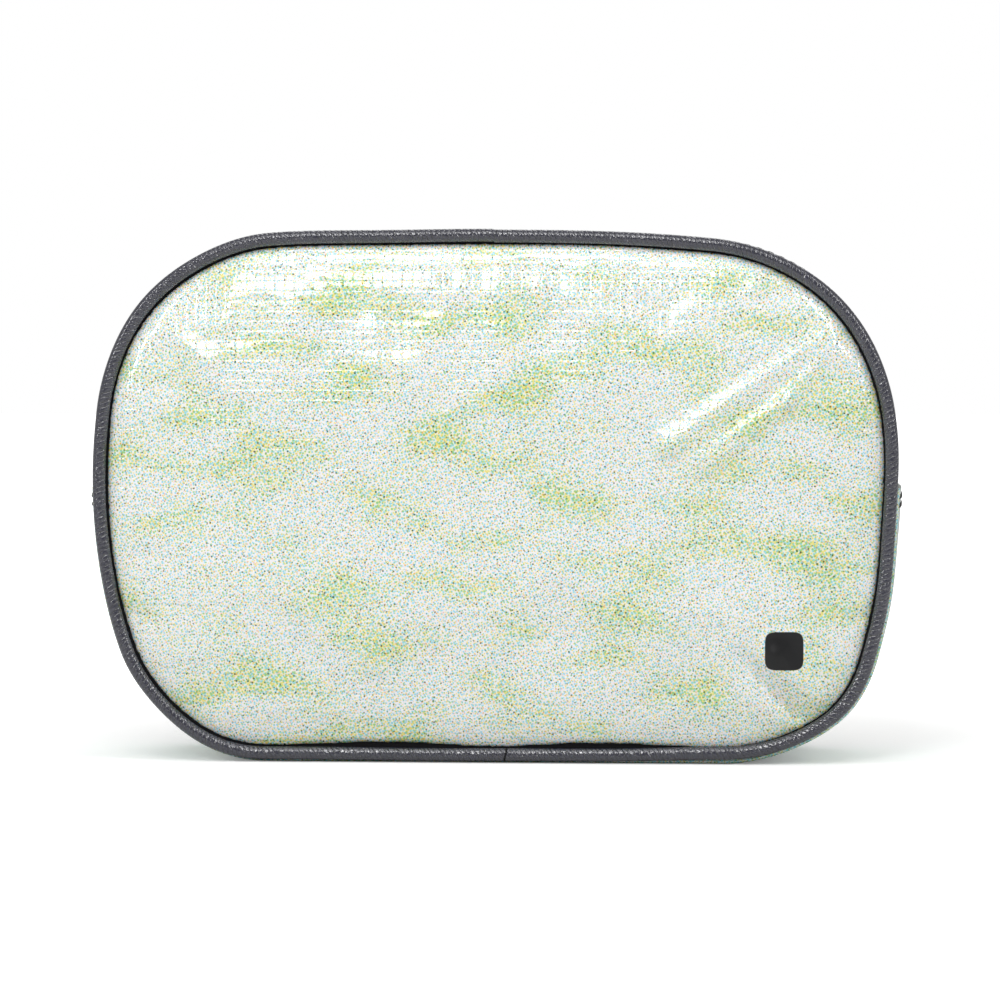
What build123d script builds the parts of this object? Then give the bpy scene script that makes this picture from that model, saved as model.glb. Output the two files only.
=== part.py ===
"""Zip pouch of coated banner cloth for battery packs and small kit.

Two crowned panels are joined by a gusset band.  Corded piping is sewn into both seams.  The lower
part of the band is one bottom gusset; above the side seams the band is two strips with a
moulded-tooth zip between them, so the upper front of the pouch folds forward as a flap.

Frame: millimetres, +Z up, the front faces -Y, origin on the floor under the middle of the pouch.
"Inset" is a distance measured inwards from the outline of the bottom gusset's outer face.
"""

import os
from math import atan2, cos, radians, sin

from build123d import *

# --- Outline of the pouch, seen from the front ---
width = 222.0  # across the sides at their widest
height = 147.0
widest_height = 78.0
flank_radius = 163.0  # of each side's curve
top_radius = 787.0  # of the top edge's curve
top_corner_radius = 54.0
bottom_corner_radius = 42.5

# --- Cloth, and the depth of the band ---
band_depth = 54.0
vinyl = 0.8
liner = 0.6
seam_allowance = 10.0

# --- Piping ---
piping_diameter = 3.6
piping_crest_inset = 0.5
piping_sides = 8

# --- Panels ---
panel_gap = 0.6  # dark groove between piping and panel
crown_depth = 8.0
crown_rise = 5.4  # depth of the sloping border
crown_run = 13.0  # width of the sloping border

# --- Zip strips, tape and teeth ---
zip_slot = 13.0  # between the folded edges of the two strips
hem = 8.5
tape_thickness = 0.6
tape_gap = 3.2  # between the two tapes' inner edges
tape_width = 13.4
tooth_pitch = 3.9  # along one row
tooth_thickness = 2.5
tooth_reach = 1.1  # how far a head passes the middle of the chain
tooth_head = 2.1
tooth_neck = 1.2
tooth_foot = 1.8
tooth_leg = 1.9  # how far a tooth grips its tape
tooth_slack = 0.02

# --- Side seams, where the bottom gusset laps over the zip strips ---
lap_top_height = 75.6
lap = 10.0

# --- Fold of the front flap ---
fold_height = 72.0
fold_slope = 50.0  # degrees, upwards from the front face to the zip
fold_clearance = 0.2

# --- Slider and pull ---
slider_start = 7.0  # degrees above the left corner's centre
slider_length = 13.0
slider_nose_width = 11.6
slider_shoulder = 1.6  # how far the nose's point stands before its shoulders
slider_neck = 4.0  # length of the wide part, and of the taper behind it
slider_corner = 1.2
slider_tail_width = 9.4
slider_plate = 1.0
slider_lip = 0.9
slider_head_room = 0.35  # above the teeth
slider_foot_room = 0.75  # below the teeth, for the bend of the track
slider_slot_up = 0.55  # the slot for the tape, above the tape's middle
slider_slot_down = 0.95
post_width = 2.2
post_length = 4.0
post_corner = 1.0
post_setback = 0.6  # of the post from the nose
bail_length = 7.0
bail_width = 2.4
bail_wall = 1.3
bail_room = 2.1
bail_chamfer = 0.9
bail_gap = 0.5  # between the bail and each arm of the pull
pin_diameter = 1.5
pin_lift = 0.3
pull_length = 21.0
pull_width = 6.6
pull_end_width = 8.0
pull_round = 3.0  # rise of the rounded end
pull_thickness = 1.3
pull_window = 4.9
pull_slot_length = 8.0
pull_slot_width = 2.6
pull_slot_setback = 3.4
stop_length = 2.6
stop_gap = 0.5
stop_proud = 0.2
stop_chamfer = 0.4

# --- Worked out from the sizes above ---
wall = vinyl + 2 * vinyl + tape_thickness + liner  # strip, hem, tape and liner under the lap
tape_inset = 3 * vinyl
tape_middle = tape_inset + tape_thickness / 2
liner_inset = wall - liner
band_half = band_depth / 2
piping_radius = piping_diameter / 2
piping_inset = piping_crest_inset + piping_radius
flange_edge = piping_inset + seam_allowance
panel_inset = piping_inset + piping_radius + panel_gap
face_y = band_half + crown_depth  # distance of a panel's face from the zip's middle
lining_half = band_half - vinyl
lap_bottom_height = lap_top_height - lap
teeth_half = tape_gap / 2 + tooth_leg
hem_edge = zip_slot / 2 + hem


def outline(inset=0.0):
    """The pouch's outline seen from the front, drawn in by an inset, as a sketch in local XY."""
    with BuildSketch() as view:
        for side in (-1, 1):
            flank_centre = (side * (width / 2 - flank_radius), widest_height)
            with Locations(Location((*flank_centre, 0), (0, 0, 90))):
                Circle(flank_radius - inset, mode=Mode.ADD if side < 0 else Mode.INTERSECT)
        with Locations((0, height - top_radius)):
            Circle(top_radius - inset, mode=Mode.INTERSECT)
        with Locations((0, inset)):
            Rectangle(2 * width, 2 * height, align=(Align.CENTER, Align.MIN), mode=Mode.INTERSECT)
        fillet(view.vertices().group_by(Axis.Y)[-1], top_corner_radius - inset)
        fillet(view.vertices().group_by(Axis.Y)[0], bottom_corner_radius - inset)
    return view.sketch


def ring(outer_inset, inner_inset, near, far):
    """A band that follows the outline, between two insets and from y=near back to y=far."""
    with BuildPart() as made:
        with BuildSketch(Plane.XZ.offset(-far)):
            add(outline(outer_inset))
            add(outline(inner_inset), mode=Mode.SUBTRACT)
        extrude(amount=far - near)
    return made.part


def keep_above(height_, shape):
    with BuildPart() as made:
        add(shape)
        split(bisect_by=Plane.XY.offset(height_), keep=Keep.TOP)
    return made.part


def keep_below(height_, shape):
    with BuildPart() as made:
        add(shape)
        split(bisect_by=Plane.XY.offset(height_), keep=Keep.BOTTOM)
    return made.part


os.makedirs("parts", exist_ok=True)


def save(shape, name):
    shape.label = name
    export_step(shape, f"parts/{name}.step")


# --- The fold: flap pieces lie above this plane, through the hinge line on the front face ---
fold_plane = Plane(
    origin=(0, -face_y, fold_height),
    x_dir=(1, 0, 0),
    z_dir=(0, -sin(radians(fold_slope)), cos(radians(fold_slope))),
)


def save_folded(shape, name):
    """Writes a front piece as its flap half and its fixed half, a clearance apart at the fold."""
    with BuildPart() as upper:
        add(shape)
        split(bisect_by=fold_plane.offset(fold_clearance / 2), keep=Keep.TOP)
    with BuildPart() as lower:
        add(shape)
        split(bisect_by=fold_plane.offset(-fold_clearance / 2), keep=Keep.BOTTOM)
    save(upper.part, f"{name}_upper")
    save(lower.part, f"{name}_lower")


def front_of(shape):
    return mirror(shape, about=Plane.XZ)


# --- Panels: a crowned vinyl pad over a flat liner; the back is built, the front mirrors it ---
with BuildPart() as back_liner:
    with BuildSketch(Plane.XZ.offset(-band_half - liner)):
        add(outline(panel_inset))
    extrude(amount=liner)
with BuildPart() as back_panel:
    with BuildSketch(Plane.XZ.offset(-face_y)):
        add(outline(panel_inset))
    extrude(amount=crown_depth - liner)
    face = back_panel.faces().sort_by(Axis.Y)[-1]
    chamfer(face.edges(), length=crown_run, length2=crown_rise, reference=face)
save(back_panel.part, "back_panel")
save(back_liner.part, "back_liner")
save_folded(front_of(back_panel.part), "front_panel")
save_folded(front_of(back_liner.part), "front_liner")

# --- Piping: leathercloth round a cord, held on the edge of the seam ---
with BuildPart() as back_piping:
    with BuildLine() as piping_path:
        add(Plane.XZ.offset(-band_half - piping_radius) * outline(piping_inset).wire())
    with BuildSketch(Plane(origin=piping_path.wire() @ 0, z_dir=piping_path.wire() % 0)):
        RegularPolygon(piping_radius, piping_sides, major_radius=False, rotation=180 / piping_sides)
    sweep(path=piping_path.wire())
save(back_piping.part, "back_piping")
save_folded(front_of(back_piping.part), "front_piping")

# --- Bottom gusset: a channel whose ends lap over the zip strips at the side seams ---
with BuildPart() as bottom_gusset:
    add(keep_below(lap_top_height, ring(0, vinyl, -band_half, band_half)))
    for near in (-band_half, lining_half):
        add(keep_below(lap_bottom_height, ring(vinyl, flange_edge, near, near + vinyl)))
bottom_padding = ring(vinyl, liner_inset, -lining_half, lining_half)
bottom_liner = ring(liner_inset, wall, -lining_half, lining_half)
save(bottom_gusset.part, "bottom_gusset")
save(keep_below(lap_bottom_height, bottom_padding), "bottom_padding")
save(keep_below(lap_bottom_height, bottom_liner), "bottom_liner")

# --- Zip strips: hemmed at the zip and turned in at the seam ---
with BuildPart() as rear_zip_strip:
    add(ring(vinyl, 2 * vinyl, zip_slot / 2, band_half))
    add(ring(2 * vinyl, 3 * vinyl, zip_slot / 2, hem_edge))
    add(ring(2 * vinyl, flange_edge, lining_half, band_half))
    split(bisect_by=Plane.XY.offset(lap_bottom_height), keep=Keep.TOP)
tape_ring = ring(tape_inset, tape_inset + tape_thickness, tape_gap / 2, tape_gap / 2 + tape_width)
rear_zip_tape = keep_above(lap_bottom_height, tape_ring)
save(rear_zip_strip.part, "rear_zip_strip")
save(rear_zip_tape, "rear_zip_tape")
save_folded(front_of(rear_zip_strip.part), "front_zip_strip")
save_folded(front_of(rear_zip_tape), "front_zip_tape")

# --- Zip track: the middle of the tape, from the left side seam over the top to the right one ---
with BuildLine(mode=Mode.PRIVATE) as track:
    add(Plane.XZ * outline(tape_middle).wire())
    split(bisect_by=Plane.XY.offset(lap_top_height), keep=Keep.TOP)
track_wire = track.wire()


def track_plane(distance):
    """The plane of the tape a distance along the track: x along it, y to the back, z outwards."""
    forwards = track_wire.position_at(0).X < 0
    along = distance if forwards else track_wire.length - distance
    point = track_wire.position_at(along, position_mode=PositionMode.LENGTH)
    tangent = track_wire.tangent_at(along, position_mode=PositionMode.LENGTH)
    tangent = tangent if forwards else -tangent
    return Plane(origin=point, x_dir=tangent, z_dir=tangent.cross(Vector(0, 1, 0)))


corners = track.edges().filter_by(lambda e: abs(e.radius - top_corner_radius) < wall)
left_corner = corners.sort_by(Axis.X)[0]
corner_centre = left_corner.arc_center
track_radius = left_corner.radius
corner_start = left_corner.vertices().sort_by(Axis.Z)[0]
left_flank = track.edges().group_by(Axis.Z)[0].sort_by(Axis.X)[0]
corner_start_angle = atan2(corner_start.Z - corner_centre.Z, corner_centre.X - corner_start.X)
slider_place = left_flank.length + track_radius * (radians(slider_start) - corner_start_angle)

# --- Zip teeth: moulded round the tape's edge, the heads of one row behind those of the other ---
def tooth_row(first, last, side):
    """One row of teeth between two distances along the track, side -1 in front, 1 behind."""
    count = int((last - first) / tooth_pitch)
    planes = [track_plane(first + tooth_pitch * (step + 0.5)) for step in range(count)]
    with BuildPart() as row:
        with BuildSketch(*planes):
            with BuildLine():
                Polyline(
                    (-tooth_foot / 2, side * teeth_half),
                    (-tooth_neck / 2, -side * tooth_slack),
                    (-tooth_head / 2, -side * tooth_reach),
                    (tooth_head / 2, -side * tooth_reach),
                    (tooth_neck / 2, -side * tooth_slack),
                    (tooth_foot / 2, side * teeth_half),
                    close=True,
                )
            make_face()
        extrude(amount=tooth_thickness / 2, both=True)
    return row.part


teeth_start = slider_place - tooth_head / 2
teeth_end = track_wire.length - stop_length - 2 * stop_gap
save(tooth_row(teeth_start + tooth_pitch / 2, teeth_end, 1), "rear_teeth")
save_folded(tooth_row(teeth_start, teeth_end, -1), "front_teeth")

# --- Zip stops: two top stops below the slider on the left, one bottom stop across both rows ---
def stop_block(distance, half_width, inner_half_width):
    """Blocks pressed round the tapes, a distance along the track."""
    with BuildPart() as block:
        with BuildSketch(track_plane(distance)):
            Rectangle(stop_length, 2 * half_width)
            if inner_half_width:
                Rectangle(stop_length, 2 * inner_half_width, mode=Mode.SUBTRACT)
        extrude(amount=tooth_thickness / 2 + stop_proud, both=True)
        chamfer(block.edges().filter_by(Axis.Y), length=stop_chamfer)
        add(tape_ring, mode=Mode.SUBTRACT)
        add(front_of(tape_ring), mode=Mode.SUBTRACT)
    return block.part


top_stop_place = slider_place - slider_length / 2 - stop_gap - stop_length / 2
bottom_stop_place = track_wire.length - stop_gap - stop_length / 2
save(stop_block(top_stop_place, teeth_half, tape_gap / 2 - tooth_reach / 2), "zip_top_stops")
save(stop_block(bottom_stop_place, teeth_half + stop_gap, 0), "zip_bottom_stop")

# --- Slider: two shield-shaped plates on a wedge post, with side flanges and a bail on top ---
slider_plane = track_plane(slider_place)
slider_side = Plane(origin=slider_plane.origin, x_dir=slider_plane.x_dir, z_dir=(0, -1, 0))
slider_out = Axis(slider_plane.origin, slider_plane.z_dir)
plate_under = tooth_thickness / 2 + slider_head_room
plate_top = plate_under + slider_plate
floor_top = -tooth_thickness / 2 - slider_foot_room
pin_height = plate_top + pin_lift + pin_diameter / 2


def slider_shield():
    """The slider's outline, local X along the track: wide and pointed at the nose, narrow behind."""
    nose = -slider_length / 2
    with BuildSketch() as shield:
        with BuildLine():
            Polyline(
                (nose, 0),
                (nose + slider_shoulder, slider_nose_width / 2),
                (nose + slider_neck, slider_nose_width / 2),
                (nose + 2 * slider_neck, slider_tail_width / 2),
                (-nose, slider_tail_width / 2),
                (-nose, 0),
            )
            mirror(about=Plane.XZ)
        make_face()
        chamfer(shield.vertices().filter_by(lambda v: abs(v.Y) > post_width), slider_corner)
    return shield.sketch


with BuildPart() as slider_body:
    for level, thickness in ((plate_under, slider_plate), (floor_top, -slider_plate)):
        with BuildSketch(slider_plane.offset(level)):
            add(slider_shield())
        extrude(amount=thickness)
    with BuildSketch(slider_plane.offset(floor_top)):
        add(slider_shield())
        offset(slider_shield(), amount=-slider_lip, mode=Mode.SUBTRACT)
        with Locations((-slider_length / 2, 0)):
            Rectangle(2 * slider_neck, slider_nose_width - 2 * slider_lip, mode=Mode.SUBTRACT)
        with Locations((slider_length / 2, 0)):
            Rectangle(2 * slider_neck, slider_tail_width - 2 * slider_lip, mode=Mode.SUBTRACT)
    extrude(amount=plate_under - floor_top)
    with BuildSketch(slider_plane.offset(-slider_slot_down)):
        Rectangle(slider_length, slider_nose_width)
    extrude(amount=slider_slot_down + slider_slot_up, mode=Mode.SUBTRACT)
    with BuildSketch(slider_plane.offset(floor_top)):
        with Locations((post_length / 2 + post_setback - slider_length / 2, 0)):
            RectangleRounded(post_length, post_width, post_corner)
    extrude(amount=plate_under - floor_top)
    with BuildSketch(slider_side):
        with Locations((0, plate_top)):
            Rectangle(bail_length, bail_room + bail_wall, align=(Align.CENTER, Align.MIN))
            Rectangle(
                bail_length - 2 * bail_wall,
                bail_room,
                align=(Align.CENTER, Align.MIN),
                mode=Mode.SUBTRACT,
            )
    extrude(amount=bail_width / 2, both=True)
    chamfer(slider_body.faces().sort_by(slider_out)[-1].edges().filter_by(Axis.Y), bail_chamfer)
save(slider_body.part, "slider_body")

# --- Pull: a tapered plate whose crossbar turns under the bail ---
with BuildPart() as slider_pull:
    with BuildSketch(slider_plane.offset(pin_height)):
        with BuildLine():
            Polyline(
                (pull_round - pull_length, pull_end_width / 2),
                (0, pull_width / 2),
                (0, -pull_width / 2),
                (pull_round - pull_length, -pull_end_width / 2),
            )
            ThreePointArc(
                (pull_round - pull_length, -pull_end_width / 2),
                (-pull_length, 0),
                (pull_round - pull_length, pull_end_width / 2),
            )
        make_face()
        with Locations((-pull_window / 2, 0)):
            Rectangle(pull_window, bail_width + 2 * bail_gap, mode=Mode.SUBTRACT)
        with Locations((-pull_length + pull_slot_setback + pull_slot_length / 2, 0)):
            SlotOverall(pull_slot_length, pull_slot_width, mode=Mode.SUBTRACT)
    extrude(amount=pull_thickness / 2, both=True)
    with BuildSketch(slider_side):
        with Locations((0, pin_height)):
            Circle(pin_diameter / 2)
    extrude(amount=pull_width / 2, both=True)
save(slider_pull.part, "slider_pull")
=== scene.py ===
"""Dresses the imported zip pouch: crowned pads of printed banner vinyl, grey corded piping, a gusset
band with a black moulded zip, lining, stitches and slider.  All lengths are in metres."""

from math import atan2, cos, pi, radians, sin, sqrt

import bmesh
import bpy
import numpy as np
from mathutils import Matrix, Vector, noise


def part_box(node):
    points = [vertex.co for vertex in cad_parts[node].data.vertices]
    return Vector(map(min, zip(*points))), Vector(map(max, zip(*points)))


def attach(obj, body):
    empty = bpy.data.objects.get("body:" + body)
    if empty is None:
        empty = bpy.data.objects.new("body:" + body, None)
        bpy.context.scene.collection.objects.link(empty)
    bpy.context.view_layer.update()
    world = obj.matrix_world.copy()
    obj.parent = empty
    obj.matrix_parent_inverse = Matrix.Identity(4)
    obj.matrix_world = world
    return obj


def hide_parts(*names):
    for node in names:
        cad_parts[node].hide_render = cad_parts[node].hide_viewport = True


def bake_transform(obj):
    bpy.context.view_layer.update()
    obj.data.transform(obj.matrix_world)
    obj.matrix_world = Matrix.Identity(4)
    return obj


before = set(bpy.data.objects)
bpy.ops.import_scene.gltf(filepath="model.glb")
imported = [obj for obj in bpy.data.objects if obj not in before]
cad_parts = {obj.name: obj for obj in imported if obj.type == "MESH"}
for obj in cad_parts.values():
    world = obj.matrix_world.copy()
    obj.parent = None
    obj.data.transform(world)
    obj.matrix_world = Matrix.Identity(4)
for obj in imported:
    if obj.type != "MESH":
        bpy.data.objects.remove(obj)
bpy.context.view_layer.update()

MM = 0.001

# --- Outline of the pouch from the front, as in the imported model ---
FLANK_RADIUS = 163.0 * MM
TOP_RADIUS = 787.0 * MM
TOP_CORNER_RADIUS = 54.0 * MM
BOTTOM_CORNER_RADIUS = 42.5 * MM
WIDEST_HEIGHT = 78.0 * MM
gusset_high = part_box("bottom_gusset")[1]
piping_low, piping_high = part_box("back_piping")
panel_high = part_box("back_panel")[1]
tape_low, tape_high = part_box("rear_zip_tape")
strip_low, strip_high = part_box("rear_zip_strip")
WIDTH = 222.0 * MM
HEIGHT = 147.0 * MM
PIPING_DIAMETER = piping_high.y - piping_low.y
PIPING_INSET = HEIGHT - piping_high.z + PIPING_DIAMETER / 2
PIPING_Y = (piping_low.y + piping_high.y) / 2
BAND_HALF = gusset_high.y
VINYL = HEIGHT - strip_high.z
PANEL_INSET = HEIGHT - panel_high.z
FACE_Y = panel_high.y
LAP_TOP = gusset_high.z
LAP_BOTTOM = strip_low.z
SLOT_HALF = strip_low.y
TAPE_INSET = HEIGHT - tape_high.z
TAPE_EDGE = tape_low.y
TAPE_THICKNESS = 0.6 * MM
TAPE_MIDDLE = TAPE_INSET + TAPE_THICKNESS / 2
SEAM_ALLOWANCE = 10.0 * MM
FLANGE_EDGE = PIPING_INSET + SEAM_ALLOWANCE
HEM = 8.5 * MM
ZIP_HALF = 7.5 * MM  # the slider and its plates need the track this far to each side


# =============================================================== outline
def outline_table():
    """Points, outward normals and running length of the outline, counter-clockwise from the bottom
    middle, about every quarter millimetre, and the centres of its right corners (top, bottom)."""
    flank = np.array([WIDTH / 2 - FLANK_RADIUS, WIDEST_HEIGHT])
    top = np.array([0.0, HEIGHT - TOP_RADIUS])
    low_z = BOTTOM_CORNER_RADIUS
    low_reach = FLANK_RADIUS - BOTTOM_CORNER_RADIUS
    low = np.array([flank[0] + sqrt(low_reach**2 - (low_z - flank[1]) ** 2), low_z])
    gap = flank - top
    span = np.linalg.norm(gap)
    from_top = TOP_RADIUS - TOP_CORNER_RADIUS
    from_flank = FLANK_RADIUS - TOP_CORNER_RADIUS
    along = (from_top**2 - from_flank**2 + span**2) / (2 * span)
    across = sqrt(from_top**2 - along**2)
    unit = gap / span
    high = top + unit * along + np.array([unit[1], -unit[0]]) * across
    angle_low = atan2(*(low - flank)[::-1])
    angle_high = atan2(*(high - flank)[::-1])
    angle_top = atan2(*(high - top)[::-1])
    arcs = [
        (low, BOTTOM_CORNER_RADIUS, -pi / 2, angle_low),
        (flank, FLANK_RADIUS, angle_low, angle_high),
        (high, TOP_CORNER_RADIUS, angle_high, angle_top),
        (top, TOP_RADIUS, angle_top, pi / 2),
    ]
    points, normals = [np.array([[0.0, 0.0]])], [np.array([[0.0, -1.0]])]
    for centre, radius, start, end in arcs:
        angles = np.linspace(start, end, int(radius * abs(end - start) / (0.25 * MM)))
        out = np.stack([np.cos(angles), np.sin(angles)], 1)
        points.append(centre + radius * out)
        normals.append(out)
    points, normals = np.concatenate(points), np.concatenate(normals)
    points = np.concatenate([points, points[-2::-1] * [-1, 1]])
    normals = np.concatenate([normals, normals[-2::-1] * [-1, 1]])
    length = np.concatenate([[0], np.cumsum(np.linalg.norm(np.diff(points, axis=0), axis=1))])
    return points, normals, length, (high, low)


RIM_POINTS, RIM_NORMALS, RIM_LENGTH, (TOP_CENTRE, BOTTOM_CENTRE) = outline_table()
PERIMETER = RIM_LENGTH[-1]
RIM_ANGLE = np.unwrap(np.arctan2(RIM_POINTS[:, 1] - WIDEST_HEIGHT, RIM_POINTS[:, 0]))
RIM_ANGLE_LENGTH = RIM_LENGTH[np.argsort(np.mod(RIM_ANGLE + pi, 2 * pi))]
RIM_ANGLE = np.sort(np.mod(RIM_ANGLE + pi, 2 * pi)) - pi


def rim(lengths):
    """Points and outward normals of the outline at running lengths, front view (x, z)."""
    wrapped = np.mod(lengths, PERIMETER)
    point = np.stack([np.interp(wrapped, RIM_LENGTH, RIM_POINTS[:, i]) for i in (0, 1)], 1)
    normal = np.stack([np.interp(wrapped, RIM_LENGTH, RIM_NORMALS[:, i]) for i in (0, 1)], 1)
    return point, normal / np.linalg.norm(normal, axis=1, keepdims=True)


def inset_of(x, z):
    """Distance from a point inside to the outline, as the least over its curves."""
    flank = FLANK_RADIUS - np.hypot(np.abs(x) - WIDTH / 2 + FLANK_RADIUS, z - WIDEST_HEIGHT)
    top = TOP_RADIUS - np.hypot(x, z - HEIGHT + TOP_RADIUS)
    least = np.minimum(np.minimum(flank, top), z)
    corners = (TOP_CENTRE, TOP_CORNER_RADIUS, 1), (BOTTOM_CENTRE, BOTTOM_CORNER_RADIUS, -1)
    for centre, radius, up in corners:
        over_x, over_z = np.abs(x) - centre[0], up * (z - centre[1])
        inside = (over_x > 0) & (over_z > 0)
        least = np.where(inside, np.minimum(least, radius - np.hypot(over_x, over_z)), least)
    return least


def length_at_height(height, side):
    """Running length where the outline passes a height, on the right (1) or left (-1)."""
    half = RIM_LENGTH < PERIMETER / 2
    right = np.interp(height, RIM_POINTS[half][:, 1], RIM_LENGTH[half])
    return right if side > 0 else PERIMETER - right


def run_over_top(height):
    """Running lengths from the right side at a height, over the top, to the left side."""
    return length_at_height(height, 1), length_at_height(height, -1)


def run_under(height):
    """Running lengths from the left side at a height, under the pouch, to the right side."""
    return -length_at_height(height, 1), length_at_height(height, 1)


def ease(share):
    """A smooth step of a share from 0 to 1."""
    return share**2 * (3 - 2 * share)


def wander(places):
    """Smooth noise at places, from about -1 to 1."""
    return np.array([noise.noise(Vector(place)) for place in places])


# The cloth doesn't hold the outline exactly: x, z, push outwards and spread of its soft spots, mm.
SOFT_SPOTS = [
    (99, 16, 2.3, 17),
    (-96, 129, 1.0, 20),
    (-58, 147, 1.8, 24),
    (74, 141, -0.45, 20),
    (-92, 14, -1.5, 18),
    (108, 42, 1.3, 17),
    (110, 88, 0.8, 15),
]


def soften(co):
    """Moves points by the soft spots, never below the floor, and never on the zip's track."""
    shift = np.zeros((len(co), 2))
    for x, z, push, spread in np.array(SOFT_SPOTS) * MM:
        out = np.array([x, z - WIDEST_HEIGHT])
        out /= np.linalg.norm(out)
        near = np.exp(-((co[:, 0] - x) ** 2 + (co[:, 2] - z) ** 2) / spread**2)
        shift += push * near[:, None] * out
    off_track = np.clip((np.abs(co[:, 1]) - ZIP_HALF) / (0.8 * BAND_HALF - ZIP_HALF), 0, 1)
    shift *= ease(off_track)[:, None]
    moved = co.copy()
    moved[:, 0] += shift[:, 0]
    moved[:, 2] += np.where(co[:, 2] + shift[:, 1] < 0, -co[:, 2] * (shift[:, 1] < 0), shift[:, 1])
    return moved


# =============================================================== mesh helpers
def add_object(name, data):
    """A new object in the scene."""
    obj = bpy.data.objects.new(name, data)
    bpy.context.scene.collection.objects.link(obj)
    return obj


def select(objects):
    """Selects objects alone, the first as the active one."""
    bpy.ops.object.select_all(action="DESELECT")
    for obj in objects:
        obj.select_set(True)
    bpy.context.view_layer.objects.active = objects[0]


def mesh_object(name, co, faces, uv=None, smooth_angle=40, warp=True):
    """A mesh from points, faces and one UV per face corner, smooth below an angle."""
    mesh = bpy.data.meshes.new(name)
    mesh.from_pydata((soften(co) if warp else co).tolist(), [], faces)
    if uv is not None:
        layer = mesh.uv_layers.new(name="cloth")
        layer.data.foreach_set("uv", np.asarray(uv, np.float32).ravel())
    mesh.update()
    obj = add_object(name, mesh)
    tidy_mesh(obj, smooth_angle)
    return obj


def tidy_mesh(obj, smooth_angle=40):
    """Faces look outwards and shade smooth below an angle."""
    bm = bmesh.new()
    bm.from_mesh(obj.data)
    bmesh.ops.recalc_face_normals(bm, faces=bm.faces)
    bm.to_mesh(obj.data)
    bm.free()
    obj.data.polygons.foreach_set("use_smooth", [True] * len(obj.data.polygons))
    obj.data.set_sharp_from_angle(angle=radians(smooth_angle))


def points_of(obj):
    """An object's points as an array."""
    return np.array([vertex.co for vertex in obj.data.vertices])


def move_points(obj, co):
    """Puts an object's points at new places."""
    obj.data.vertices.foreach_set("co", co.astype(np.float32).ravel())


def sweep(name, profile, start, end, step=1.6 * MM, closed=False, bulge=None, smooth_angle=40):
    """A closed profile of (inset, y) points carried along the outline between two running lengths."""
    count = int(round((end - start) / step)) + 1
    lengths = np.linspace(start, end, count, endpoint=not closed)
    point, normal = rim(lengths)
    profile = np.array(profile)
    k = len(profile)
    inset = np.tile(profile[:, 0], (len(lengths), 1))
    depth = np.tile(profile[:, 1], (len(lengths), 1))
    if bulge is not None:
        inset = inset - bulge(lengths[:, None], point[:, 1][:, None], depth)
    x, z = [point[:, i][:, None] - normal[:, i][:, None] * inset for i in (0, 1)]
    co = np.stack([x, depth, z], 2)
    around = np.concatenate([[0], np.cumsum(np.linalg.norm(np.diff(profile, axis=0), axis=1))])
    around = np.append(around, around[-1] + np.linalg.norm(profile[0] - profile[-1]))
    faces, uv = [], []
    stations = len(lengths)
    spans = stations if closed else stations - 1
    for i in range(spans):
        j = (i + 1) % stations
        u0, u1 = lengths[i], lengths[i] + (end - start) / spans
        for m in range(k):
            n = (m + 1) % k
            faces.append((i * k + m, j * k + m, j * k + n, i * k + n))
            uv += [(u0, around[m]), (u1, around[m]), (u1, around[m + 1]), (u0, around[m + 1])]
    if not closed:
        for i in (0, stations - 1):
            faces.append(tuple(i * k + m for m in range(k)))
            uv += [(lengths[i], around[m]) for m in range(k)]
    return mesh_object(name, co.reshape(-1, 3), faces, uv, smooth_angle)


def loop(name, profile, step=1.6 * MM, bulge=None, smooth_angle=40):
    """A profile carried all the way round, from the top middle."""
    half = PERIMETER / 2
    return sweep(name, profile, half, half + PERIMETER, step, True, bulge, smooth_angle)


def slab(outer, inner, across, facing=1):
    """Profile of a flat layer between two insets, with points at places across the band."""
    return [(outer, y * facing) for y in across] + [(inner, y * facing) for y in across[::-1]]


def grid_quads(size):
    """Point numbers of a square grid, and its faces."""
    index = np.arange(size * size).reshape(size, size)
    corners = [index[:-1, :-1], index[:-1, 1:], index[1:, 1:], index[1:, :-1]]
    return index, np.stack(corners, -1).reshape(-1, 4)


def joined(name, objects):
    """One object from several, keeping their UVs and materials."""
    select(objects)
    bpy.ops.object.join()
    objects[0].name = name
    return objects[0]


def apply_modifiers(obj):
    """Applies an object's modifiers in their order."""
    select([obj])
    for modifier in list(obj.modifiers):
        bpy.ops.object.modifier_apply(modifier=modifier.name)


def finish_piece(obj, material, body, nodes=()):
    """Material, CAD nodes it stands for, and the body it rides on; for "fold" its transform is baked
    into its points instead.
    """
    obj.data.materials.clear()
    obj.data.materials.append(material)
    if nodes:
        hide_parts(*nodes)
    if body == "fold":
        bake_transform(obj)
    else:
        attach(obj, body)
    return obj


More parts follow.
